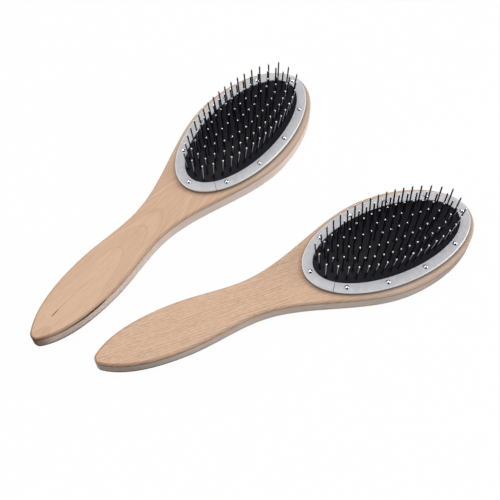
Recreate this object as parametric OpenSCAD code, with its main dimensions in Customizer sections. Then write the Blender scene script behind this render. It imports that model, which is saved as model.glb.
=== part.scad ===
// A pair of hand carders lying face up. Each is an oval wooden paddle of two glued boards. A domed
// rubber cushion full of round-ended wire pins is held over an air chamber by a nailed metal ring.

/* [Paddle] */
// Overall length of one carder, from the tip of the handle to the end of the head
body_len = 235; // [215:1:260]
// Width of the neck, the narrowest part of the handle
neck_w = 22.8; // [18:0.2:28]
// Distance of the neck from the middle of the pins
neck_dist = 87.5; // [80:0.5:100]
// Width of the palm swell, the widest part of the handle
palm_w = 29.1; // [24:0.1:36]
// Distance of the palm swell from the tip of the handle
palm_back = 50; // [40:0.2:60]
// Radius of the rounded tip of the handle
tip_r = 4; // [3.6:0.1:6]
// Wood outside the ring at the end of the head
end_margin = 2.4; // [2:0.1:8]
// Wood outside the ring at the sides of the head
side_margin = 3.7; // [2:0.1:8]
// Thickness of the back board
back_t = 11; // [9:0.1:13]
// Thickness of the thin face board
face_t = 2; // [1.8:0.1:4]
// Rounding of the back board's outer edge
back_round = 3.3; // [1:0.1:3.5]
// Rounding of the face board's outer edge
face_round = 1.4; // [0.5:0.1:1.7]
// Wood left under the air chamber
floor_t = 6.5; // [5:0.1:8]

/* [Ring] */
// Width of the ring's band
ring_band = 6.3; // [5.6:0.1:7.2]
// Thickness of the ring
ring_t = 1; // [0.8:0.1:2]
// Thickness of the lip that the ring turns down to the wood along its outer edge
lip_t = 0.8; // [0.5:0.1:1.2]
// Angle round the oval at which the ends of the ring meet, from the end of the head
butt_angle = 214; // [200:1:250]
// Gap between the two ends of the ring
butt_gap = 0.3; // [0.1:0.1:1]

/* [Nails] */
// Distance of the nails from the inner edge of the ring
nail_inset = 2.7; // [2:0.1:4]
// Number of nails round the ring
nail_count = 10; // [6:1:14]
// Diameter of a nail's domed head
nail_head_d = 3; // [2.2:0.1:4]
// Height of a nail's domed head
nail_head_h = 1; // [0.5:0.1:1.5]
// Diameter of a nail's shank
nail_d = 1.3; // [0.8:0.1:1.8]
// Length of a nail under its head
nail_len = 8; // [6:0.1:8.5]

/* [Cushion] */
// Thickness of the rubber
rubber_t = 2; // [1:0.1:2.4]
// Rise of the dome over the flange under the ring
dome_h = 3.6; // [2:0.1:6]
// Rubber between the last pins and the ring at the ends of the oval
end_rim = 3.3; // [3:0.1:8]
// Rubber between the last pins and the ring at the sides of the oval
side_rim = 3.9; // [3:0.1:8]
// Gap between the edge of the flange and the ring's lip
lip_gap = 0.2; // [0.1:0.1:0.6]
// Clearance round a pin or a nail in the rubber
hole_gap = 0.1; // [0.05:0.01:0.2]

/* [Pins] */
// Diameter of a pin's wire
pin_d = 1; // [0.7:0.05:1.3]
// Length of a pin above the rubber
pin_len = 18.6; // [12:0.1:22]
// Diameter of the flat head under the rubber
pin_head_d = 2.2; // [1.8:0.1:2.8]
// Thickness of the flat head under the rubber
pin_head_t = 0.5; // [0.3:0.1:1]
// Spacing of the pins along the carder
pin_pitch = 5; // [4.6:0.1:6]
// Width over the outer row of pins
outer_row_w = 36.1; // [34:0.1:42]
// Width over the second row of pins
second_row_w = 28.1; // [26:0.1:31]
// Width over the third row of pins
third_row_w = 17.8; // [15:0.1:21]
// Width over the two middle rows of pins
centre_row_w = 5.8; // [4.6:0.1:8]
// Share of the dome's slope by which the pins lean outwards
splay = 0.55; // [0:0.05:1]

/* [Pair] */
// Turn of the first carder from the X axis
yaw_a = 50; // [40:0.1:60]
// Turn of the second carder from the X axis
yaw_b = 23.8; // [10:0.1:30]
// How far the second carder's pins lie to the right of the first carder's
pair_x = 84.4; // [80:0.1:140]
// How far the second carder's pins lie in front of the first carder's
pair_y = 78.1; // [76:0.1:120]

/* [Hidden] */

// Colours of the materials
wood = "burlywood";
rubber = [0.07, 0.07, 0.08];
metal = "silver";
steel = [0.62, 0.63, 0.65];

// Facets of the ovals, of round parts and of the rounded edges
oval_sides = 72;
round_sides = 24;
round_steps = 4;
// Clearance of a nail in its hole in wood or metal
nail_fit = 0.05;
// Depth of a nail's hole past its point
nail_spare = 0.3;
// Gap between the chamber's wall and the edge of the free rubber
chamber_gap = 0.3;
// Gap between a pin's head and the underside of the rubber
head_gap = 0.25;
// Length of a nail's point
nail_point = 1.2;

// Pins across both ends of each row, as [distance from the middle, offset] in pitches
outer_end = [[8.7, 0], [8.55, 1.27], [8.55, -1.27]];
second_end = [[7.67, 0], [7.6, 0.95], [7.6, -0.95]];
third_end = [[6.5, 0]];
centre_end = [[2.5, 0], [3.5, 0], [4.5, 0]];
// Columns of pins in a quarter of each row
outer_columns = 8;
second_columns = 7;
third_columns = 6;
centre_columns = 2;
// Half length of the oval that each row follows, in pitches; the middle rows run straight
outer_reach = 8.85;
second_reach = 7.35;
third_reach = 5.78;
centre_reach = 1000;

// Half length and half width of the ring's opening, outer edge, inside of the lip and line of nails
open_a = outer_end[0][0] * pin_pitch + end_rim;
open_b = outer_row_w / 2 + side_rim;
ring_a = open_a + ring_band;
ring_b = open_b + ring_band;
lip_a = ring_a - lip_t;
lip_b = ring_b - lip_t;
nail_a = open_a + nail_inset;
nail_b = open_b + nail_inset;

// Heights of the boards, the rubber flange and the ring over the table
body_t = back_t + face_t;
flange_top = body_t + rubber_t;
ring_top = flange_top + ring_t;

// Reach of the head and of the handle from the middle of the pins, and half widths
head_reach = ring_a + end_margin;
head_half = ring_b + side_margin;
handle_reach = body_len - head_reach;
palm_dist = handle_reach - palm_back;
tip_x = tip_r - handle_reach;

// Angle that the round tip turns through to meet each side of the handle
tip_angle = 52;
// Where the side of the handle runs into the round tip, and the corner that its curve bends round
side_end = [tip_x - tip_r * cos(tip_angle), tip_r * sin(tip_angle)];
side_corner = [side_end[0] + (palm_w / 2 - side_end[1]) * tan(tip_angle), palm_w / 2];

// Curve of one edge of the paddle: an elliptic head, two easy blends, a bend and a round tip
function ease(t) = t * t * (3 - 2 * t);
function blend(from, to, t) = from + (to - from) * ease(t);
function bend(a, b, c, t) = pow(1 - t, 2) * a + 2 * t * (1 - t) * b + pow(t, 2) * c;
head_edge = [for (a = [0:6:84]) [head_reach * cos(a), head_half * sin(a)]];
waist_edge = [for (i = [0:11]) [-neck_dist * i / 12, blend(head_half, neck_w / 2, i / 12)]];
grip_edge = [
    for (i = [0:7])
        [-neck_dist - (palm_dist - neck_dist) * i / 8, blend(neck_w / 2, palm_w / 2, i / 8)]
];
side_edge = [for (i = [0:8]) bend([-palm_dist, palm_w / 2], side_corner, side_end, i / 9)];
tip_edge = [for (a = [tip_angle:-13:0]) [tip_x - tip_r * cos(a), tip_r * sin(a)]];
upper_edge = concat(head_edge, waist_edge, grip_edge, side_edge, tip_edge);
lower_edge = [for (i = [len(upper_edge) - 2:-1:1]) [upper_edge[i][0], -upper_edge[i][1]]];
outline = concat(upper_edge, lower_edge);

// Outward direction at each point of the outline, and the outline moved inwards
function at(list, i) = list[(i + len(list)) % len(list)];
function chord(i) = at(outline, i + 1) - at(outline, i - 1);
function outward(i) = [chord(i)[1], -chord(i)[0]] / norm(chord(i));
function inset(d) = [for (i = [0:len(outline) - 1]) outline[i] - d * outward(i)];

// Place of each carder, with the middle of the pair's plan on the origin
function turned(p, yaw) = [p[0] * cos(yaw) - p[1] * sin(yaw), p[0] * sin(yaw) + p[1] * cos(yaw)];
plan = concat(
    [for (p = outline) turned(p, yaw_a)],
    [for (p = outline) turned(p, yaw_b) + [pair_x, -pair_y]]
);
function middle(axis) = (min([for (p = plan) p[axis]]) + max([for (p = plan) p[axis]])) / 2;
origin_a = [-middle(0), -middle(1)];
origin_b = origin_a + [pair_x, -pair_y];

// Points of an oval, and places spread evenly along it
function oval(a, b) = [
    for (i = [0:oval_sides - 1]) [a * cos(360 * i / oval_sides), b * sin(360 * i / oval_sides)]
];
function on_oval(a, b, angle) = [a * cos(angle), b * sin(angle)];
function lengths(a, b) = [
    for (i = 0, s = 0; i <= 360; i = i + 1, s = s + norm(on_oval(a, b, i) - on_oval(a, b, i - 1)))
        [s, i]
];
function spread(a, b, count) = [
    let (table = lengths(a, b), total = table[360][0])
    for (i = [0:count - 1]) on_oval(a, b, lookup(total * i / count, table))
];
nail_places = spread(nail_a, nail_b, nail_count);

// Height and slope of the rubber's top, and the way a pin leans there
function fall(p) = pow(p[0] / open_a, 2) + pow(p[1] / open_b, 2);
function rubber_top(p) = flange_top + dome_h * (1 - min(1, fall(p)));
function lean(p) = splay * 2 * dome_h * [p[0] / pow(open_a, 2), p[1] / pow(open_b, 2)];

// Feet of the pins of one row
function row_feet(columns, reach, half_w, ends) = concat(
    [
        for (i = [0:columns - 1], sx = [-1, 1], sy = [-1, 1])
            let (x = i + 0.5)
            [sx * x * pin_pitch, sy * half_w * sqrt(1 - pow(x / reach, 2))]
    ],
    [for (e = ends, sx = [-1, 1]) [sx * e[0] * pin_pitch, e[1] * pin_pitch]]
);
outer_feet = row_feet(outer_columns, outer_reach, outer_row_w / 2, outer_end);
second_feet = row_feet(second_columns, second_reach, second_row_w / 2, second_end);
third_feet = row_feet(third_columns, third_reach, third_row_w / 2, third_end);
centre_feet = row_feet(centre_columns, centre_reach, centre_row_w / 2, centre_end);
all_feet = concat(outer_feet, second_feet, third_feet, centre_feet);

// A closed solid through rings of points that are as long as each other and even about the X axis
module stack(rings) {
    n = len(rings[0]);
    last = (len(rings) - 1) * n;
    points = [for (r = rings, p = r) p];
    sides = [
        for (k = [0:len(rings) - 2], i = [0:n - 1])
            let (j = (i + 1) % n, a = k * n + i, b = k * n + j)
            each [[a, a + n, b + n], [a, b + n, b]]
    ];
    top = [for (face = cap(n)) reversed([for (i = face) last + i])];
    polyhedron(points, concat(cap(n), sides, top));
}

// Strips across a ring of n points, from one end to the other
function cap(n) = concat(
    [[0, 1, n - 1]],
    [for (i = [1:n / 2 - 2]) [i, i + 1, n - i - 1, n - i]],
    [[n / 2 - 1, n / 2, n / 2 + 1]]
);
function reversed(list) = [for (i = [len(list) - 1:-1:0]) list[i]];

// A ring of points at one height
function level(points, z) = [for (p = points) [p[0], p[1], z]];

// Rings of a rounded edge that leaves the height z, up (way = 1) or down (way = -1)
function rounded(z, r, way) = [
    for (i = [0:round_steps])
        let (a = 90 * i / round_steps)
        level(inset(r * (1 - cos(a))), z + way * r * sin(a))
];

module stand_on(p, lean_xy) {
    translate(p)
        rotate(a = atan(norm(lean_xy)), v = [-lean_xy[1], lean_xy[0], 0])
            children();
}

module back_board() {
    edge = reversed(rounded(back_round, back_round, -1));
    color(wood)
        difference() {
            stack(concat(edge, [level(outline, back_t)]));
            chamber(floor_t, back_t + 1);
            nail_holes(nail_fit);
        }
}

module face_board() {
    color(wood)
        difference() {
            stack(concat([level(outline, back_t)], rounded(body_t - face_round, face_round, 1)));
            chamber(back_t - 1, body_t + 1);
            nail_holes(nail_fit);
        }
}

// The oval air chamber between two heights
module chamber(from, to) {
    translate([0, 0, from])
        linear_extrude(to - from)
            polygon(oval(open_a + chamber_gap, open_b + chamber_gap));
}

// Holes of all nails, down to just under their points
module nail_holes(gap) {
    depth = nail_len + nail_spare;
    for (p = nail_places)
        translate([p[0], p[1], ring_top - depth])
            cylinder(h = depth + 1, d = nail_d + 2 * gap, $fn = round_sides);
}

// Rings of the rubber's surface, from the middle out to the edge of its flange
function rubber_rings(drop) = [
    for (f = [0.02, 0.3, 0.55, 0.75, 0.9, 1])
        [for (p = oval(f * open_a, f * open_b)) [p[0], p[1], rubber_top(p) - drop]],
    level(oval(lip_a - lip_gap, lip_b - lip_gap), flange_top - drop)
];

module rubber_cushion() {
    color(rubber)
        difference() {
            stack(concat(rubber_rings(rubber_t), reversed(rubber_rings(0))));
            for (p = all_feet)
                stand_on([p[0], p[1], rubber_top(p)], lean(p))
                    translate([0, 0, -2 * rubber_t])
                        cylinder(h = 4 * rubber_t, d = pin_d + 2 * hole_gap, $fn = round_sides);
            nail_holes(hole_gap);
        }
}

module clamp_ring() {
    color(metal)
        difference() {
            translate([0, 0, body_t])
                linear_extrude(ring_top - body_t)
                    difference() {
                        polygon(oval(ring_a, ring_b));
                        polygon(oval(open_a, open_b));
                    }
            translate([0, 0, body_t - 1])
                linear_extrude(rubber_t + 1)
                    polygon(oval(lip_a, lip_b));
            butt_joint();
            nail_holes(nail_fit);
        }
}

// The slit where the ends of the ring meet, square to its band
module butt_joint() {
    p = on_oval(nail_a, nail_b, butt_angle);
    across = atan2(p[1] / pow(nail_b, 2), p[0] / pow(nail_a, 2));
    translate([p[0], p[1], flange_top])
        rotate([0, 0, across])
            cube([2 * ring_band, butt_gap, 3 * (ring_top - body_t)], center = true);
}

module ring_nails() {
    r = nail_d / 2;
    head_r = nail_head_d / 2;
    dome = [for (a = [0:15:75]) [head_r * cos(a), nail_head_h * sin(a)]];
    color(metal)
        for (p = nail_places)
            translate([p[0], p[1], ring_top])
                rotate_extrude($fn = round_sides)
                    polygon(concat(
                        [[0, -nail_len], [r, nail_point - nail_len], [r, 0]],
                        dome,
                        [[0, nail_head_h]]
                    ));
}

// Pins standing on the rubber, each with its flat head held under it
module pins(feet) {
    r = pin_d / 2;
    head_r = pin_head_d / 2;
    under = -rubber_t - head_gap;
    round_end = [for (a = [0:18:72]) [r * cos(a), pin_len - r + r * sin(a)]];
    profile = concat(
        [[0, under - pin_head_t], [head_r, under - pin_head_t], [head_r, under], [r, under]],
        round_end,
        [[0, pin_len]]
    );
    color(steel)
        for (p = feet)
            stand_on([p[0], p[1], rubber_top(p)], lean(p))
                rotate_extrude($fn = round_sides)
                    polygon(profile);
}

module place_a() {
    translate(origin_a)
        rotate([0, 0, yaw_a])
            children();
}

module place_b() {
    translate(origin_b)
        rotate([0, 0, yaw_b])
            children();
}

place_a() back_board();  // back_board_a
place_a() face_board();  // face_board_a
place_a() rubber_cushion();  // rubber_cushion_a
place_a() clamp_ring();  // clamp_ring_a
place_a() ring_nails();  // ring_nails_a
place_a() pins(outer_feet);  // outer_pins_a
place_a() pins(second_feet);  // second_pins_a
place_a() pins(third_feet);  // third_pins_a
place_a() pins(centre_feet);  // centre_pins_a
place_b() back_board();  // back_board_b
place_b() face_board();  // face_board_b
place_b() rubber_cushion();  // rubber_cushion_b
place_b() clamp_ring();  // clamp_ring_b
place_b() ring_nails();  // ring_nails_b
place_b() pins(outer_feet);  // outer_pins_b
place_b() pins(second_feet);  // second_pins_b
place_b() pins(third_feet);  // third_pins_b
place_b() pins(centre_feet);  // centre_pins_b
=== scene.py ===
import math
from math import cos, hypot, pi, radians, sin, sqrt

import bmesh
import bpy
from mathutils import Matrix, Vector


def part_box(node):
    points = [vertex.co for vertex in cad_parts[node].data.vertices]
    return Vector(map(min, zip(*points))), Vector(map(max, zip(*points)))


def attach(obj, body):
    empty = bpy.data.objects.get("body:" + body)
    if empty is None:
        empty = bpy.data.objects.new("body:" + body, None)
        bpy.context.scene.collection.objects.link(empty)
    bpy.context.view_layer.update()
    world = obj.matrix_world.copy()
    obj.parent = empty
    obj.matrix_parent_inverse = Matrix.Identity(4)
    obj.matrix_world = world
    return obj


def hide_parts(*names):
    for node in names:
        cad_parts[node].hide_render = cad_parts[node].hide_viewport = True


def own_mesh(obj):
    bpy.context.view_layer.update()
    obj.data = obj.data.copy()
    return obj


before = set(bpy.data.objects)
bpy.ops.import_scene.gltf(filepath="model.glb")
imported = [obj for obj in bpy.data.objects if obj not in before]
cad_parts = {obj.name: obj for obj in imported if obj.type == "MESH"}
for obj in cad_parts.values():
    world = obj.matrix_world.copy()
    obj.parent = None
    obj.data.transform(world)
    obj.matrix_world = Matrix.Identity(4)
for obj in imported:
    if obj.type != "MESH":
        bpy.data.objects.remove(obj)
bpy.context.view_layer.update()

# Sizes of one carder in millimetres, from the middle of its pins, with the handle towards -X
MM = 0.001
BODY_LEN = 235.0
HEAD_REACH, HEAD_HALF = 55.5, 31.95
NECK_DIST, NECK_HALF = 87.5, 11.4
PALM_BACK, PALM_HALF = 50.0, 14.55
TIP_R, TIP_ANGLE = 4.0, radians(52)
FLOOR_T, BACK_T, BODY_T = 6.5, 11.0, 13.0
BACK_ROUND, FACE_ROUND, SEAM_BREAK = 3.3, 1.4, 0.15
OPEN_A, OPEN_B, CHAMBER_GAP = 46.8, 21.95, 0.3
RING_BAND, RING_T, LIP_T, LIP_GAP = 6.3, 1.0, 0.8, 0.2
RING_BEND = 1.1
RUBBER_T, DOME_H = 2.0, 3.6
FLANGE_TOP = BODY_T + RUBBER_T
RING_TOP = FLANGE_TOP + RING_T
BUTT_ANGLE, BUTT_GAP = radians(214), 0.3
NAIL_INSET, NAIL_COUNT = 2.7, 10
NAIL_R, NAIL_LEN, NAIL_POINT = 0.65, 8.0, 1.2
NAIL_HEAD_R, NAIL_HEAD_H = 1.5, 1.0
PITCH, SPLAY = 5.0, 0.55
PIN_R, PIN_LEN = 0.5, 18.6
PIN_HEAD_R, PIN_HEAD_T, PIN_HEAD_DEPTH = 1.1, 0.5, 2.75

# Steps round the boards, the ring, the rubber, a nail and a pin
BOARD_STEPS, RING_STEPS, RUBBER_STEPS, NAIL_STEPS, PIN_STEPS = 264, 192, 128, 20, 8

# Radius of the round band that is drawn out into the oval of the ring
BAND_R = 100.0

# Rows of pins: columns in a quarter, half length of their oval, half width, and the end pins
ROWS = {
    "outer": (8, 8.85, 18.05, [(8.7, 0), (8.55, 1.27), (8.55, -1.27)]),
    "second": (7, 7.35, 14.05, [(7.67, 0), (7.6, 0.95), (7.6, -0.95)]),
    "third": (6, 5.78, 8.9, [(6.5, 0)]),
    "centre": (2, 1000.0, 2.9, [(2.5, 0), (3.5, 0), (4.5, 0)]),
}

# Parts of the paddle's edge, and how far round the edge each of them ends
SPANS = ((0.3, "head"), (0.5, "waist"), (0.68, "grip"), (0.92, "side"), (1.0, "tip"))

# Turn and place of each carder
YAW = {"a": radians(50), "b": radians(23.8)}


def middle(side):
    low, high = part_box(f"clamp_ring_{side}")
    return Vector(((low.x + high.x) / 2, (low.y + high.y) / 2, 0))


MIDDLE = {side: middle(side) for side in YAW}


# ---------------------------------------------------------------- shapes

def finished(bm, name, side, material, crease):
    """The mesh becomes a piece: in metres, turned and moved to its carder's place."""
    place = Matrix.Translation(MIDDLE[side]) @ Matrix.Rotation(YAW[side], 4, "Z")
    bmesh.ops.transform(bm, matrix=place @ Matrix.Scale(MM, 4), verts=bm.verts)
    mesh = bpy.data.meshes.new(f"{name}_{side}")
    bm.to_mesh(mesh)
    bm.free()
    mesh.shade_smooth()
    mesh.set_sharp_from_angle(angle=radians(crease))
    mesh.materials.append(material)
    piece = bpy.data.objects.new(f"{name}_{side}_piece", mesh)
    bpy.context.scene.collection.objects.link(piece)
    return piece


def ease(t):
    return t * t * (3 - 2 * t)


def paddle_point(t):
    """A point of the paddle's edge, from the end of the head at 0 to the tip of the handle at 1."""
    handle = BODY_LEN - HEAD_REACH
    palm = handle - PALM_BACK
    tip = TIP_R - handle
    start = 0.0
    for stop, part in SPANS:
        if t <= stop + 1e-9:
            break
        start = stop
    u = (t - start) / (stop - start)
    if part == "head":
        return HEAD_REACH * cos(u * pi / 2), HEAD_HALF * sin(u * pi / 2)
    if part == "waist":
        return -NECK_DIST * u, HEAD_HALF + (NECK_HALF - HEAD_HALF) * ease(u)
    if part == "grip":
        x = -NECK_DIST - (palm - NECK_DIST) * u
        return x, NECK_HALF + (PALM_HALF - NECK_HALF) * ease(u)
    end = tip - TIP_R * cos(TIP_ANGLE), TIP_R * sin(TIP_ANGLE)
    if part == "side":
        corner = end[0] + (PALM_HALF - end[1]) * math.tan(TIP_ANGLE), PALM_HALF
        bends = (-palm, PALM_HALF), corner, end
        weights = (1 - u) ** 2, 2 * u * (1 - u), u * u
        return tuple(sum(w * p[i] for w, p in zip(weights, bends)) for i in (0, 1))
    turn = TIP_ANGLE * (1 - u)
    return tip - TIP_R * cos(turn), TIP_R * sin(turn)


def rim(bm, z):
    """Edges that lie at one height and have a flat face on one side only."""
    level = [e for e in bm.edges if all(abs(v.co.z - z) < 1e-4 for v in e.verts)]
    return [e for e in level if len(e.link_faces) < 2
            or abs(e.link_faces[0].normal.z - e.link_faces[1].normal.z) > 0.05]


def wide_faces(bm):
    """The two flat faces of a board, which alone have many corners."""
    return [f for f in bm.faces if len(f.verts) > BOARD_STEPS / 2]


def board(z_low, z_high, rounded, radius):
    """One board of a paddle, with its outer edge rounded and its edge at the seam just broken."""
    bm = bmesh.new()
    bmesh.ops.create_circle(bm, cap_ends=True, segments=BOARD_STEPS, radius=1)
    for v in bm.verts:
        angle = math.atan2(v.co.y, v.co.x)
        x, y = paddle_point(abs(angle) / pi)
        v.co = x, math.copysign(y, angle), z_low
    lifted = bmesh.ops.extrude_face_region(bm, geom=bm.faces[:])["geom"]
    up = [g for g in lifted if isinstance(g, bmesh.types.BMVert)]
    bmesh.ops.translate(bm, vec=(0, 0, z_high - z_low), verts=up)
    bmesh.ops.recalc_face_normals(bm, faces=bm.faces)
    bm.normal_update()
    for z, width, segments in ((rounded, radius, 8), (BACK_T, SEAM_BREAK, 1)):
        bmesh.ops.bevel(bm, geom=rim(bm, z), offset=width, segments=segments, profile=0.5,
                        affect="EDGES", material=-1, clamp_overlap=True)
        bm.normal_update()
    bmesh.ops.inset_region(bm, faces=wide_faces(bm), thickness=0.3, use_even_offset=True)
    return bm


def chamber_edge(bm, z):
    """A loop of edges round the air chamber at one height."""
    made = bmesh.ops.create_circle(bm, cap_ends=False, segments=BOARD_STEPS, radius=1)["verts"]
    size = OPEN_A + CHAMBER_GAP, OPEN_B + CHAMBER_GAP, 1
    bmesh.ops.scale(bm, vec=size, verts=made)
    bmesh.ops.translate(bm, vec=(0, 0, z), verts=made)
    return list({e for v in made for e in v.link_edges})


def cut_chamber(bm, low, high):
    """Opens the oval air chamber between two heights, through a face or down to a floor."""
    walls = []
    for z in (low, high):
        oval = chamber_edge(bm, z)
        face = [f for f in wide_faces(bm) if abs(f.verts[0].co.z - z) < 1e-3]
        if face:
            border = list(face[0].edges)
            bmesh.ops.delete(bm, geom=face, context="FACES_ONLY")
            bmesh.ops.triangle_fill(bm, edges=border + oval, use_beauty=True, normal=(0, 0, 1))
        else:
            bmesh.ops.edgeloop_fill(bm, edges=oval)
        walls += oval
    bmesh.ops.bridge_loops(bm, edges=walls)
    bmesh.ops.recalc_face_normals(bm, faces=bm.faces)


def spun(section, steps):
    """A closed section, or a profile that starts and ends on the axis, turned right round."""
    bm = bmesh.new()
    verts = [bm.verts.new((x, 0, z)) for x, z in section]
    edges = [bm.edges.new(pair) for pair in zip(verts, verts[1:])]
    if section[0][0] > 0:
        edges.append(bm.edges.new((verts[-1], verts[0])))
    bmesh.ops.spin(bm, geom=verts + edges, cent=(0, 0, 0), axis=(0, 0, 1), angle=2 * pi,
                   steps=steps, use_merge=True)
    bmesh.ops.remove_doubles(bm, verts=bm.verts, dist=1e-4)
    bmesh.ops.recalc_face_normals(bm, faces=bm.faces)
    return bm


def draw_oval(bm):
    """Draws a round band about the Z axis out into the oval of the ring's opening."""
    for v in bm.verts:
        angle = math.atan2(v.co.y, v.co.x)
        out = hypot(v.co.x, v.co.y) - BAND_R
        v.co.x = (OPEN_A + out) * cos(angle)
        v.co.y = (OPEN_B + out) * sin(angle)


def cut_butt_joint(bm):
    """The slit where the ends of the ring meet, square to its band and closed at both ends."""
    a, b = OPEN_A + NAIL_INSET, OPEN_B + NAIL_INSET
    x, y = a * cos(BUTT_ANGLE), b * sin(BUTT_ANGLE)
    slit = Vector((x, y, 0))
    along = Vector((-y / b ** 2, x / a ** 2, 0))
    along.normalize()
    for way in (-1, 1):
        bmesh.ops.bisect_plane(bm, geom=bm.verts[:] + bm.edges[:] + bm.faces[:], dist=1e-5,
                               plane_co=slit + along * way * BUTT_GAP / 2, plane_no=along)

    def in_slit(f):
        away = f.calc_center_median() - slit
        return abs(away.dot(along)) < BUTT_GAP / 2 and hypot(away.x, away.y) < 2 * RING_BAND

    bmesh.ops.delete(bm, geom=[f for f in bm.faces if in_slit(f)], context="FACES")
    bmesh.ops.holes_fill(bm, edges=[e for e in bm.edges if e.is_boundary], sides=0)
    bmesh.ops.recalc_face_normals(bm, faces=bm.faces)


def clamp_ring():
    """The metal band, with an eased inner edge and a lip bent down along its outer edge."""
    outer = BAND_R + RING_BAND
    inner_edge = [
        (BAND_R, FLANGE_TOP), (BAND_R, RING_TOP - 0.22), (BAND_R + 0.08, RING_TOP - 0.06),
        (BAND_R + 0.25, RING_TOP),
    ]
    bend = [(outer - RING_BEND * (1 - sin(a)), RING_TOP - RING_BEND * (1 - cos(a)))
            for a in (radians(step) for step in (0, 15, 30, 45, 60, 75, 90))]
    lip = [(outer, BODY_T), (outer - LIP_T, BODY_T), (outer - LIP_T, FLANGE_TOP)]
    bm = spun(inner_edge + bend + lip, RING_STEPS)
    draw_oval(bm)
    cut_butt_joint(bm)
    return bm


def nail_places():
    """Places spread evenly along the oval of the nails."""
    a, b = OPEN_A + NAIL_INSET, OPEN_B + NAIL_INSET
    walk = [0.0]
    for i in range(1, 361):
        t, s = radians(i), radians(i - 1)
        walk.append(walk[-1] + hypot(a * (cos(t) - cos(s)), b * (sin(t) - sin(s))))
    places = []
    for k in range(NAIL_COUNT):
        want = walk[-1] * k / NAIL_COUNT
        i = max(j for j in range(360) if walk[j] <= want + 1e-9)
        angle = radians(i + (want - walk[i]) / (walk[i + 1] - walk[i]))
        places.append((a * cos(angle), b * sin(angle)))
    return places


def repeated(shape, places):
    """One bmesh with a copy of a shape under each of the given matrices."""
    mesh = bpy.data.meshes.new("repeated")
    shape.to_mesh(mesh)
    shape.free()
    bm = bmesh.new()
    for place in places:
        before = len(bm.verts)
        bm.from_mesh(mesh)
        bm.verts.ensure_lookup_table()
        bmesh.ops.transform(bm, matrix=place, verts=bm.verts[before:])
    bpy.data.meshes.remove(mesh)
    return bm


def ring_nails():
    """Domed nail heads on the ring, each with its shank and point."""
    ball = (NAIL_HEAD_R ** 2 + NAIL_HEAD_H ** 2) / (2 * NAIL_HEAD_H)
    dome = [(sqrt(max(0.0, ball ** 2 - (z + ball - NAIL_HEAD_H) ** 2)), z)
            for z in (0.0, 0.2, 0.42, 0.62, 0.78, 0.9, 0.97)]
    shank = [(0, -NAIL_LEN), (NAIL_R, NAIL_POINT - NAIL_LEN), (NAIL_R, 0),
             (NAIL_HEAD_R - 0.08, -0.02)]
    shape = spun(shank + dome + [(0, NAIL_HEAD_H)], NAIL_STEPS)
    return repeated(shape, [Matrix.Translation((x, y, RING_TOP)) for x, y in nail_places()])


def row_feet(row):
    columns, reach, half, ends = ROWS[row]
    feet = [(sx * (i + 0.5) * PITCH, sy * half * sqrt(1 - ((i + 0.5) / reach) ** 2))
            for i in range(columns) for sx in (-1, 1) for sy in (-1, 1)]
    return feet + [(sx * x * PITCH, y * PITCH) for x, y in ends for sx in (-1, 1)]


def standing(x, y):
    """The place of something that stands on the rubber at x, y and leans outwards."""
    top = FLANGE_TOP + DOME_H * (1 - (x / OPEN_A) ** 2 - (y / OPEN_B) ** 2)
    lean = 2 * SPLAY * DOME_H * Vector((x / OPEN_A ** 2, y / OPEN_B ** 2, 0))
    turn = Matrix.Rotation(math.atan(lean.length), 4, Vector((-lean.y, lean.x, 0)))
    return Matrix.Translation((x, y, top)) @ turn


def pins(row):
    """The wires of one row, each from its flat head under the rubber to its round end."""
    head_top = PIN_HEAD_T - PIN_HEAD_DEPTH
    section = [
        (0, -PIN_HEAD_DEPTH), (PIN_HEAD_R, -PIN_HEAD_DEPTH), (PIN_HEAD_R, head_top),
        (PIN_R, head_top), (PIN_R, PIN_LEN - 1), (PIN_R, PIN_LEN - 0.5),
        (0.36, PIN_LEN - 0.15), (0, PIN_LEN),
    ]
    return repeated(spun(section, PIN_STEPS), [standing(x, y) for x, y in row_feet(row)])


def cushion_dome():
    """The free part of the rubber, domed over the air chamber."""
    steps = [0, 0.12, 0.25, 0.38, 0.5, 0.62, 0.73, 0.83, 0.91, 0.96, 1.0]
    top = [(s, FLANGE_TOP + DOME_H * (1 - s * s)) for s in steps]
    bottom = [(s, z - RUBBER_T) for s, z in reversed(top)]
    bm = spun(top + bottom, RUBBER_STEPS)
    bmesh.ops.scale(bm, vec=(OPEN_A, OPEN_B, 1), verts=bm.verts)
    return bm


def collars():
    """The small swellings of the rubber round the pins' feet."""
    section = [(0.45, -0.6), (1.3, -0.6), (1.2, 0.1), (0.8, 0.48), (0.45, 0.52)]
    feet = [foot for row in ROWS for foot in row_feet(row)]
    return repeated(spun(section, PIN_STEPS), [standing(x, y) for x, y in feet])


def cushion_flange():
    """The rim of the rubber that the ring clamps down on the wood."""
    inner, outer = BAND_R - 0.3, BAND_R + RING_BAND - LIP_T - LIP_GAP
    top = FLANGE_TOP - 0.02
    bm = spun([(inner, BODY_T), (inner, top), (outer, top), (outer, BODY_T)], RUBBER_STEPS)
    draw_oval(bm)
    return bm


# ---------------------------------------------------------------- finishes

class Value:
    """A number or a colour that varies over a surface, as a socket in a material's nodes."""

    def __init__(self, finish, socket):
        self.finish, self.socket = finish, socket

    def join(self, operation, *others):
        return self.finish.node("ShaderNodeMath", {"operation": operation},
                                dict(enumerate(others)))

    def __add__(self, other):
        return self.join("ADD", self, other)

    def __radd__(self, other):
        return self.join("ADD", other, self)

    def __sub__(self, other):
        return self.join("SUBTRACT", self, other)

    def __rsub__(self, other):
        return self.join("SUBTRACT", other, self)

    def __mul__(self, other):
        return self.join("MULTIPLY", self, other)

    def __rmul__(self, other):
        return self.join("MULTIPLY", other, self)

    def __abs__(self):
        return self.join("ABSOLUTE", self)


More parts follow.
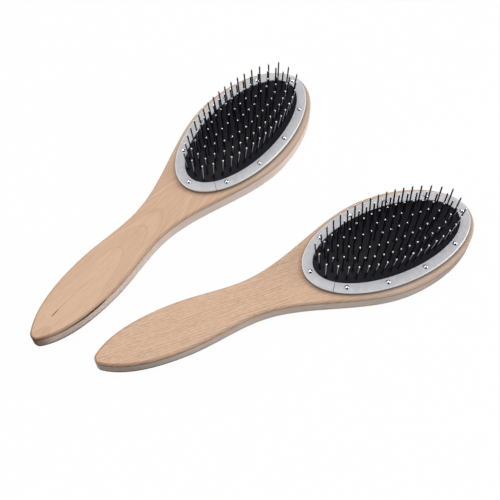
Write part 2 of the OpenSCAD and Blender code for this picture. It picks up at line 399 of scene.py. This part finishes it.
def srgb(r, g, b):
    """A colour given as it looks on a screen, from 0 to 255."""
    def linear(c):
        c /= 255
        return c / 12.92 if c <= 0.04045 else ((c + 0.055) / 1.055) ** 2.4
    return linear(r), linear(g), linear(b), 1.0


class Nodes:
    """The nodes of a material or of the room, with one output."""

    def __init__(self, owner, output):
        owner.use_nodes = True
        self.tree = owner.node_tree
        self.tree.nodes.clear()
        self.end = self.tree.nodes.new(output)

    def node(self, kind, settings=None, inputs=None, output=0):
        """A node with its settings, and with a number, colour or link in each named socket."""
        made = self.tree.nodes.new(kind)
        for key, value in (settings or {}).items():
            setattr(made, key, value)
        for key, value in (inputs or {}).items():
            if isinstance(value, Value):
                self.tree.links.new(value.socket, made.inputs[key])
            else:
                made.inputs[key].default_value = value
        return Value(self, made.outputs[output])

    def show(self, shader):
        self.tree.links.new(shader.socket, self.end.inputs[0])

    def rays(self, kind):
        """1 for rays of one kind and 0 for all others."""
        return self.node("ShaderNodeLightPath", output=f"Is {kind} Ray")

    def either(self, factor, first, second):
        return self.node("ShaderNodeMixShader", None, {0: factor, 1: first, 2: second})


class Finish(Nodes):
    """A material made of nodes round one Principled shader."""

    def __init__(self, name, **constants):
        self.material = bpy.data.materials.new(name)
        super().__init__(self.material, "ShaderNodeOutputMaterial")
        self.shader = self.node("ShaderNodeBsdfPrincipled", None, {
            key.replace("_", " "): value for key, value in constants.items()})
        self.show(self.shader)

    def feed(self, socket, value):
        self.tree.links.new(value.socket, self.shader.socket.node.inputs[socket])

    def place(self, side):
        """Object coordinates in millimetres, from the middle of the carder and along it."""
        seen = self.node("ShaderNodeTexCoord", output="Object")
        return self.node("ShaderNodeMapping", {"vector_type": "TEXTURE"}, {
            "Vector": seen, "Location": MIDDLE[side], "Rotation": (0, 0, YAW[side]),
            "Scale": (MM, MM, MM)})

    def axis(self, vector, name):
        return self.node("ShaderNodeSeparateXYZ", None, {"Vector": vector}, output=name)

    def stretched(self, vector, factors):
        return self.node("ShaderNodeVectorMath", {"operation": "MULTIPLY"},
                         {0: vector, 1: factors})

    def vector(self, x, y, z):
        return self.node("ShaderNodeCombineXYZ", None, {"X": x, "Y": y, "Z": z})

    def noise(self, vector, scale, detail, roughness, seed):
        return self.node("ShaderNodeTexNoise", {"noise_dimensions": "4D"}, {
            "Vector": vector, "W": seed, "Scale": scale, "Detail": detail,
            "Roughness": roughness})

    def mapped(self, value, low, high, to_low=0.0, to_high=1.0):
        """A smooth step from to_low at low to to_high at high."""
        return self.node("ShaderNodeMapRange", {"interpolation_type": "SMOOTHSTEP"}, {
            "Value": value, "From Min": low, "From Max": high, "To Min": to_low,
            "To Max": to_high})

    def until(self, value, full, gone):
        """A mask that is whole while the value is below full, and has faded out at gone."""
        return 1 - self.mapped(value, full, gone)

    def mix(self, factor, first, second):
        return self.node("ShaderNodeMix", {"data_type": "RGBA"}, {
            0: factor, 6: first, 7: second}, output=2)

    def least(self, value, limit):
        return self.node("ShaderNodeMath", {"operation": "MINIMUM"}, {0: value, 1: limit})

    def bump(self, height, strength, distance):
        return self.node("ShaderNodeBump", None, {
            "Height": height, "Strength": strength, "Distance": distance * MM})


# Wood of each carder: its colours, and how strongly each mark shows on it, among them painted
# bounce light on the back board's side and painted shadow along its foot
BIRCH = {
    "a": {"light": (225, 190, 163), "dark": (200, 164, 137), "pale": (246, 230, 219),
          "paleness_and_bounce": 0.65, "pores": 0.16, "seam": 0.35, "foot": 0.1},
    "b": {"light": (227, 193, 166), "dark": (199, 163, 136), "pale": (214, 205, 198),
          "paleness_and_bounce": 0.42, "pores": 0.26, "seam": 0.48, "foot": 0.25},
}
PORE_BROWN = (176, 136, 106)

# Direction from the middle of the first carder to the darker side of its tip
DARK_SIDE_X, DARK_SIDE_Y = -0.907, 0.427


class Birch(Finish):
    """The wood of one board, coloured layer by layer from its figure out to its marks, with painted
    shade and painted bounce light among the layers.
    """

    def __init__(self, side, layer):
        super().__init__(f"birch_{layer}_{side}", IOR=1.3, Specular_IOR_Level=0.08)
        self.looks = BIRCH[side]
        self.spot = self.place(side)
        self.x, self.y, self.z = (self.axis(self.spot, axis) for axis in "XYZ")
        self.tipward = self.mapped(self.x, -100, -165)
        self.near_tip = self.mapped(self.x, -138, -172)
        self.fibre = self.grain((0.05, 1.6, 1.6), 1.0, 3, 0.6, 5.2)
        self.pores = self.grain((0.3, 2.0, 2.0), 0.8, 2, 0.5, 9.4)
        drift = self.grain((0.35, 1.0, 1.0), 0.03, 2, 0.5, 3.1)
        figure = self.cathedral(drift) if side == "a" else self.straight_lines(drift)
        self.colour = self.mix(figure, srgb(*self.looks["light"]), srgb(*self.looks["dark"]))
        self.fine_grain(side)
        if layer == "back":
            self.back_layer(side)
        else:
            self.face_layer()
        if side == "a":
            self.old_marks()
        self.seam()
        if side == "a":
            self.split()
        self.feed("Base Color", self.colour)
        self.feed("Roughness", self.mapped(self.fibre, 0.3, 0.8, 0.5, 0.65))
        relief = figure * 0.3 + self.fibre * 0.5 + self.pores * 0.4
        self.feed("Normal", self.bump(relief, 0.25, 0.12))

    def grain(self, stretch, scale, detail, roughness, seed):
        return self.noise(self.stretched(self.spot, stretch), scale, detail, roughness, seed)

    # Lays a colour over the wood: used for real stains and marks, and also for painted shade and
    # painted light.
    def stain(self, strength, colour):
        self.colour = self.mix(strength, self.colour, srgb(*colour))

    def cathedral(self, drift):
        """Arches where the growth rings, which dip towards the tip, meet the surface."""
        across = self.y + 26 * (drift - 0.5) + 2
        depth = 26 + self.x * 0.11
        radius = self.node("ShaderNodeMath", {"operation": "SQRT"},
                           {0: across * across + depth * depth})
        rings = self.noise(self.vector(self.x * 0.012, radius, self.z * 0.05), 0.3, 2, 0.5, 1.7)
        lines = self.until(abs(rings - 0.5), 0.004, 0.035) * 0.34
        return lines + self.mapped(rings, 0.4, 0.62) * 0.25

    def straight_lines(self, drift):
        """Close lines along the paddle, stronger in some patches than in others."""
        across = self.y + self.x * 0.06 + 2 * drift
        spacing = 1.5
        patches = self.noise(self.vector(self.x * 0.03, across, self.z * 0.5), 0.3, 2, 0.6, 7.3)
        phase = across * (2 * pi / spacing) + patches * 9
        lines = self.node("ShaderNodeMath", {"operation": "SINE"}, {0: phase})
        return (lines * 0.5 + 0.5) * self.mapped(patches, 0.3, 0.7, 0.3, 0.75)

    def fine_grain(self, side):
        """Fibres, pores and clouds, and the short dashes of the second carder's wood."""
        cloud = self.noise(self.spot, 0.035, 2, 0.5, 2.0)
        self.stain(self.mapped(self.fibre, 0.45, 0.7) * 0.25, (178, 140, 110))
        self.stain(self.mapped(self.pores, 0.52, 0.72) * self.looks["pores"], PORE_BROWN)
        if side == "b":
            dashes = self.grain((0.45, 1.7, 1.7), 1.0, 1, 0.5, 4.6)
            self.stain(self.mapped(dashes, 0.48, 0.7) * 0.22, PORE_BROWN)
            self.stain(self.mapped(dashes, 0.52, 0.3) * 0.19, (246, 220, 198))
        self.stain(self.mapped(cloud, 0.35, 0.7) * 0.2, (226, 194, 168))

    def back_layer(self, side):
        """Paler wood, partly its own tone and partly painted bounce light from the floor, with
        streaks along it, painted shadow along its foot, and greyer towards the ends.
        """
        # Partly the wood's own paler tone and partly painted bounce light: the back board's side is
        # paler, more so further below the seam.
        paleness_and_bounce = self.mapped(self.z, BACK_T, BACK_T - 2.5) * 0.3 + self.looks["paleness_and_bounce"]
        self.stain(paleness_and_bounce, self.looks["pale"])
        streaks = self.grain((0.03, 0.03, 1.0), 1.1, 2, 0.6, 6.6)
        self.stain(self.mapped(streaks, 0.5, 0.66) * 0.3, (158, 132, 114))
        # Painted shadow: the wood darkens near the bottom, where the rounded underside curves away
        # from the light, more towards the tip.
        foot = self.until(self.z, 3.1, 4.9) * self.mapped(self.z, 0.02, 0.5)
        foot = foot * (self.tipward * 0.7 + self.looks["foot"])
        self.stain(foot * (0.75 + 0.25 * streaks), (40, 29, 24))
        if side == "a":
            self.stain(self.near_tip * 0.34, (150, 126, 108))
        else:
            self.stain(self.mapped(abs(self.x + 65), 55, 105) * 0.48, (112, 98, 90))

    def face_layer(self):
        """Browner on its rounded edge, partly the wood's own tone and partly painted shade, with
        painted shadow beside the ring, and greyer on the head.
        """
        # Partly the wood's own browner tone and partly painted shade: everything below the flat top
        # is browned, more near the tip, so the crease looks sharper.
        edge = self.until(self.z, BODY_T - 0.06, BODY_T - 0.003)
        self.stain(edge * (self.near_tip * 0.36 + 0.13), (146, 102, 72))
        # Painted shadow of the ring's lip on the wood just outside it.
        ring_a, ring_b = OPEN_A + RING_BAND, OPEN_B + RING_BAND
        oval = self.x * self.x * (1 / ring_a ** 2) + self.y * self.y * (1 / ring_b ** 2)
        self.stain(self.until(oval, 1.0, 1.14) * 0.42, (124, 90, 66))
        self.stain(self.mapped(self.x, -50, -15) * 0.3, (192, 186, 184))

    def old_marks(self):
        """A dark fleck in the palm, and a stained tip that is very dark along one side."""
        x, y, z = self.x, self.y, self.z
        bowed = x + 152
        fleck = self.until(abs(y - 1.1 + bowed * bowed * 0.0033), 0.1, 0.5)
        fleck = fleck * self.mapped(x, -164, -162.5) * (1 - self.mapped(x, -161, -156) * 0.82)
        self.stain(fleck * self.until(x, -140, -125) * 0.85, (92, 56, 38))
        stain = self.until(x + 3 * (self.pores - 0.5), -179, -171)
        stain = stain * self.until(z, BACK_T + 1.2, BODY_T)
        self.stain(stain * 0.8, (106, 68, 50))
        ragged = self.grain((1.0, 1.0, 0.5), 0.5, 3, 0.6, 8.8) - 0.5
        # The far side of the tip is made very dark, with a ragged border.
        dark_side = self.mapped(y * DARK_SIDE_Y + x * DARK_SIDE_X + ragged * 5, 161.0, 163.0)
        dark_side = dark_side * self.until(x + ragged * 12, -178, -167)
        self.stain(dark_side * self.until(z + ragged * 3, BACK_T + 0.6, BODY_T), (36, 16, 10))

    def seam(self):
        """The glue line between the boards, darker towards the tip."""
        line = self.until(abs(self.z - BACK_T), 0.15, 0.6)
        line = line * (self.tipward * 0.4 + self.looks["seam"])
        self.stain(self.least(line, 0.98), (76, 44, 28))

    def split(self):
        """A thin dark crack along the seam beside the palm."""
        length = self.mapped(self.x, -170, -148) * self.until(self.x, -139, -135)
        crack = length * self.until(self.y, -2, 2)
        self.stain(crack * self.until(abs(self.z - BACK_T), 0.45, 1.25), (34, 8, 2))


def ring_metal(side):
    """Aluminium with a painted highlight along its bend, and painted shade and reflection on its
    lip.
    """
    metal = Finish(f"ring_aluminium_{side}", IOR=1.45)
    place = metal.place(side)
    mottle = metal.noise(place, 0.35, 3, 0.6, 4.0)
    brush = metal.noise(metal.stretched(place, (0.6, 3.0, 3.0)), 0.9, 2, 0.6, 8.0)
    z = metal.axis(place, "Z")
    colour = metal.mix(metal.mapped(mottle, 0.35, 0.65), srgb(197, 198, 203), srgb(210, 210, 214))
    colour = metal.mix(metal.mapped(brush, 0.4, 0.8) * 0.3, colour, srgb(170, 171, 178))
    # Painted shade and painted reflection of the wood: the lip down the ring's outer side is
    # coloured brownish grey.
    lip = metal.until(z, RING_TOP - 1.3, RING_TOP - 0.8)
    colour = metal.mix(lip * 0.8, colour, srgb(116, 104, 94))
    # Painted highlight: a near-white band along the bend, made a touch more metallic and smoother.
    painted_bend_highlight = metal.until(abs(z - RING_TOP + 0.5), 0.2, 0.5)
    colour = metal.mix(painted_bend_highlight * 0.9, colour, srgb(252, 252, 252))
    metal.feed("Base Color", colour)
    metal.feed("Metallic", painted_bend_highlight * 0.08 + 0.06)
    metal.feed("Roughness", metal.mapped(mottle, 0.3, 0.7, 0.44, 0.52) - painted_bend_highlight * 0.06)
    metal.feed("Normal", metal.bump(brush * 0.6 + mottle * 0.4, 0.12, 0.05))
    return metal.material


def nail_chrome(side):
    """Chrome heads, with painted shadow where they meet the ring."""
    chrome = Finish(f"nail_chrome_{side}", Metallic=1.0)
    place = chrome.place(side)
    haze = chrome.noise(place, 1.2, 2, 0.5, 6.0)
    bright = chrome.mix(haze, srgb(236, 236, 240), srgb(248, 248, 250))
    # Painted shadow: the heads are darkened and dulled just above the ring, where they meet it.
    painted_rim_shadow = chrome.until(chrome.axis(place, "Z"), RING_TOP + 0.08, RING_TOP + 0.45)
    chrome.feed("Base Color", chrome.mix(painted_rim_shadow * 0.9, bright, srgb(36, 34, 34)))
    chrome.feed("Roughness", chrome.mapped(haze, 0.3, 0.7, 0.03, 0.08) + painted_rim_shadow * 0.3)
    return chrome.material


def pin_steel(side):
    """Drawn wire, with a painted highlight on its round end."""
    steel = Finish(f"pin_steel_{side}", Metallic=1.0)
    place = steel.place(side)
    x, y, z = (steel.axis(place, axis) for axis in "XYZ")
    drawn = steel.noise(steel.stretched(place, (4, 4, 0.25)), 1.0, 2, 0.5, 2.5)
    fall = x * x * (1 / OPEN_A ** 2) + y * y * (1 / OPEN_B ** 2)
    above = z - FLANGE_TOP - DOME_H + DOME_H * fall
    # Painted highlight: the round end is given a near-white colour and a little more roughness, so
    # it shows as a bright dot.
    painted_tip_highlight = steel.mapped(above, PIN_LEN - 0.6, PIN_LEN - 0.25)
    colour = steel.mix(drawn, srgb(120, 121, 125), srgb(150, 151, 155))
    steel.feed("Base Color", steel.mix(painted_tip_highlight, colour, srgb(246, 246, 248)))
    steel.feed("Roughness", steel.mapped(drawn, 0.3, 0.7, 0.08, 0.14) + painted_tip_highlight * 0.12)
    return steel.material


def black_rubber(side):
    """Smooth rubber with a faint bloom."""
    rubber = Finish(f"black_rubber_{side}", IOR=1.28)
    place = rubber.place(side)
    bloom = rubber.noise(place, 0.3, 3, 0.55, 3.7)
    grain = rubber.noise(place, 3.5, 2, 0.5, 1.1)
    rubber.feed("Base Color", rubber.mix(bloom, srgb(13, 13, 17), srgb(24, 24, 35)))
    rubber.feed("Roughness", rubber.mapped(bloom, 0.3, 0.7, 0.5, 0.64))
    rubber.feed("Normal", rubber.bump(grain, 0.2, 0.04))
    return rubber.material


# ---------------------------------------------------------------- pieces

def add(bm, name, side, material, body, slot, *nodes, crease=40):
    """One piece on a body of its carder, in place of the CAD nodes that it stands for."""
    piece = finished(bm, name, side, material, crease)
    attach(piece, f"{body}_{side}")
    if nodes:
        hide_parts(*(f"{node}_{side}" for node in nodes))
    return piece


for side in YAW:
    rubber = black_rubber(side)
    steel = pin_steel(side)

    back = board(0, BACK_T, 0, BACK_ROUND)
    cut_chamber(back, FLOOR_T, BACK_T)
    add(back, "back_board", side, Birch(side, "back").material, "carder", "wood", "back_board")
    face = board(BACK_T, BODY_T, BODY_T, FACE_ROUND)
    cut_chamber(face, BACK_T, BODY_T)
    add(face, "face_board", side, Birch(side, "face").material, "carder", "wood", "face_board")
    add(clamp_ring(), "clamp_ring", side, ring_metal(side), "carder", "ring_metal", "clamp_ring")
    add(ring_nails(), "ring_nails", side, nail_chrome(side), "carder", "nail_chrome",
        "ring_nails", crease=50)
    add(cushion_flange(), "cushion_flange", side, rubber, "carder", "rubber")
    dome = add(cushion_dome(), "cushion_dome", side, rubber, "carder", "rubber",
               "rubber_cushion")
    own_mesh(dome)
    nubs = add(collars(), "pin_collars", side, rubber, "carder", "rubber")
    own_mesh(nubs)
    for row in ROWS:
        add(pins(row), f"{row}_pins", side, steel, f"{row}_row", "pin_steel", f"{row}_pins",
            crease=50)


# ---------------------------------------------------------------- floor, light and camera

# Places in metres, from the middle of the pair on the floor
KEY_LIGHT = {"at": (-0.1, 0.08, 1.0), "size": 0.8, "power": 6.6}
RIGHT_LIGHT = {"at": (1.03, -0.15, 0.42), "size": 0.5, "power": 4.6}
LEFT_LIGHT = {"at": (-0.86, -0.39, 0.34), "size": 0.35, "power": 1.4}
FLOOR_HALF = 3

# Camera: its height above the floor as an angle, its distance, and where it aims from carder a
RISE, DISTANCE = radians(62.0), 0.5499
AIM = Vector((0.00494, -0.07591, 0))
LENS, SENSOR = 66.57, 36

# Room: its strength, the dark patch's strength and direction, and where the patch begins and ends
ROOM, PATCH, PATCH_TOWARDS = 0.62, 0.02, (0, -0.55, 0.835)
PATCH_STARTS, PATCH_FULL = 0.4, 0.64


def floor():
    """White paper that shows white itself and keeps the shadows that fall on it."""
    bm = bmesh.new()
    bmesh.ops.create_grid(bm, x_segments=1, y_segments=1, size=FLOOR_HALF)
    mesh = bpy.data.meshes.new("floor")
    bm.to_mesh(mesh)
    bm.free()
    cover = Finish("floor_paper", Roughness=0.9)
    grain = cover.noise(cover.node("ShaderNodeTexCoord", output="Object"), 900, 2, 0.5, 1.0)
    cover.feed("Base Color", cover.mix(grain, (0.86, 0.86, 0.86, 1), (0.9, 0.9, 0.9, 1)))
    glow = cover.node("ShaderNodeEmission", None, {"Color": (1, 1, 1, 1), "Strength": 1.0})
    seen = cover.rays("Camera") + cover.rays("Glossy") + cover.rays("Transmission")
    cover.show(cover.either(cover.least(seen, 1.0) * 0.97, cover.shader, glow))
    mesh.materials.append(cover.material)
    plane = bpy.data.objects.new("floor", mesh)
    bpy.context.scene.collection.objects.link(plane)


def softbox(name, at, size, power):
    """A round soft light that faces the middle of the pair."""
    lamp = bpy.data.lights.new(name, "AREA")
    lamp.shape, lamp.size, lamp.energy = "DISK", size, power
    box = bpy.data.objects.new(name, lamp)
    box.location = at
    box.rotation_euler = (-Vector(at)).to_track_quat("-Z", "Y").to_euler()
    bpy.context.scene.collection.objects.link(box)


def surroundings():
    """A white backdrop, and a pale room with a dark patch over the front of the table."""
    world = bpy.data.worlds.new("studio")
    room = Nodes(world, "ShaderNodeOutputWorld")
    way = room.node("ShaderNodeTexCoord", output="Generated")
    towards = room.node("ShaderNodeVectorMath", {"operation": "DOT_PRODUCT"},
                        {0: way, 1: PATCH_TOWARDS}, output="Value")
    strength = room.node("ShaderNodeMapRange", None, {
        "Value": towards, "From Min": PATCH_STARTS, "From Max": PATCH_FULL, "To Min": ROOM,
        "To Max": PATCH})
    walls = room.node("ShaderNodeBackground", None, {"Strength": strength})
    backdrop = room.node("ShaderNodeBackground", None, {"Color": (1, 1, 1, 1)})
    room.show(room.either(room.rays("Camera"), walls, backdrop))
    bpy.context.scene.world = world


def camera():
    lens = bpy.data.cameras.new("camera")
    lens.lens, lens.sensor_width = LENS, SENSOR
    lens.clip_start, lens.clip_end = 0.01, 20
    eye = bpy.data.objects.new("camera", lens)
    eye.location = MIDDLE["a"] + AIM + Vector((0, -DISTANCE * cos(RISE), DISTANCE * sin(RISE)))
    eye.rotation_euler = (pi / 2 - RISE, 0, 0)
    bpy.context.scene.collection.objects.link(eye)
    bpy.context.scene.camera = eye


floor()
surroundings()
softbox("key", **KEY_LIGHT)
softbox("right", **RIGHT_LIGHT)
softbox("left", **LEFT_LIGHT)
camera()
bpy.context.scene.view_settings.view_transform = "Standard"
